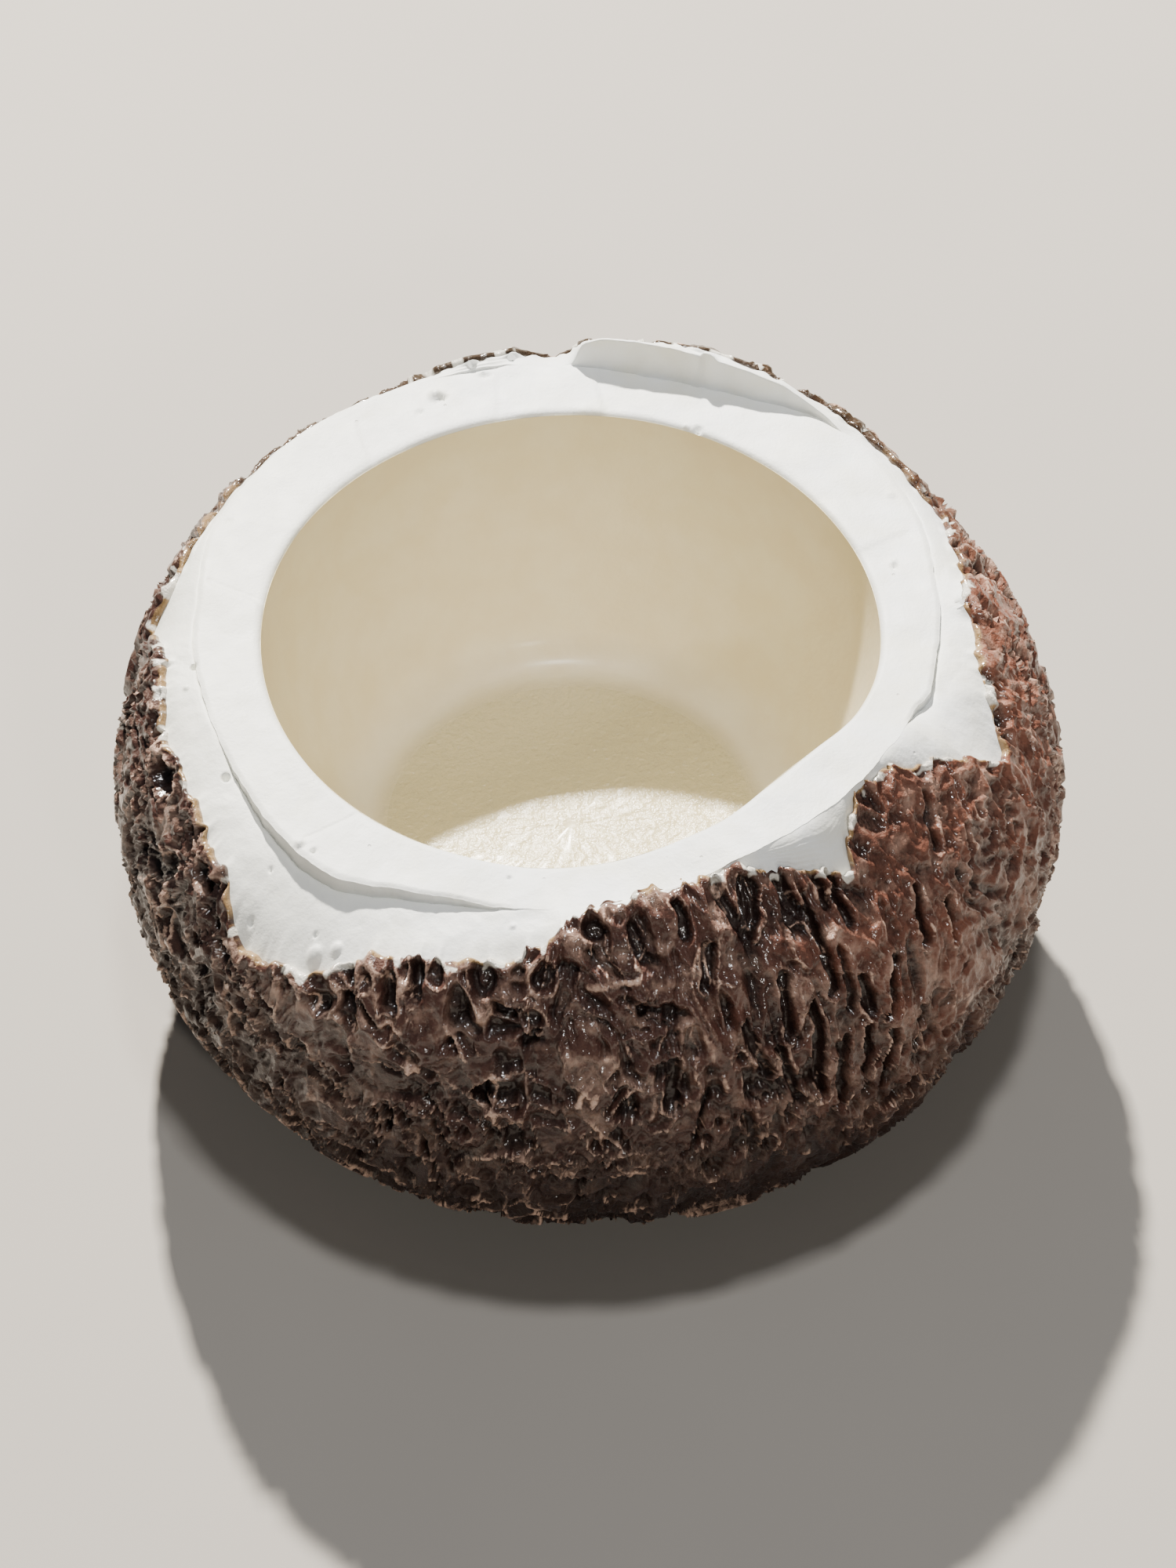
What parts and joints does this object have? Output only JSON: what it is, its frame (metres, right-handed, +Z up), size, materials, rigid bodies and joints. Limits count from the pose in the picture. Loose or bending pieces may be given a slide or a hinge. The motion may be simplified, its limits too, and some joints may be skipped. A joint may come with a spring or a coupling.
{
  "type": "coconut-shell vessel",
  "caption": "Squat open vessel shaped like a broken coconut: rough brown husk outside, white cup with a wide chipped rim and a deep round well.",
  "frame": {"origin": "centre of the belly, on the level of the surface that the vessel stands on", "axes": "+Z up out of the well; +Y towards the raised piece at the back of the rim; +X to the right when that piece is at the back"},
  "size_m": [0.118, 0.118, 0.064],
  "materials": {
    "husk": "varnished dark brown paint over a deeply wrinkled cast surface",
    "white_body": "matte white cast plaster with chips and pinholes",
    "white_cup": "smooth matte white cast plaster",
    "cream_coat": "thin satin cream sealing coat",
    "felt": "dark felt"
  },
  "bodies": {
    "root": {"husk_shell": "husk", "flesh_body": "white_body", "inner_cup": "white_cup", "well_coating": "cream_coat", "base_pad": "felt"}
  },
  "joints": []
}
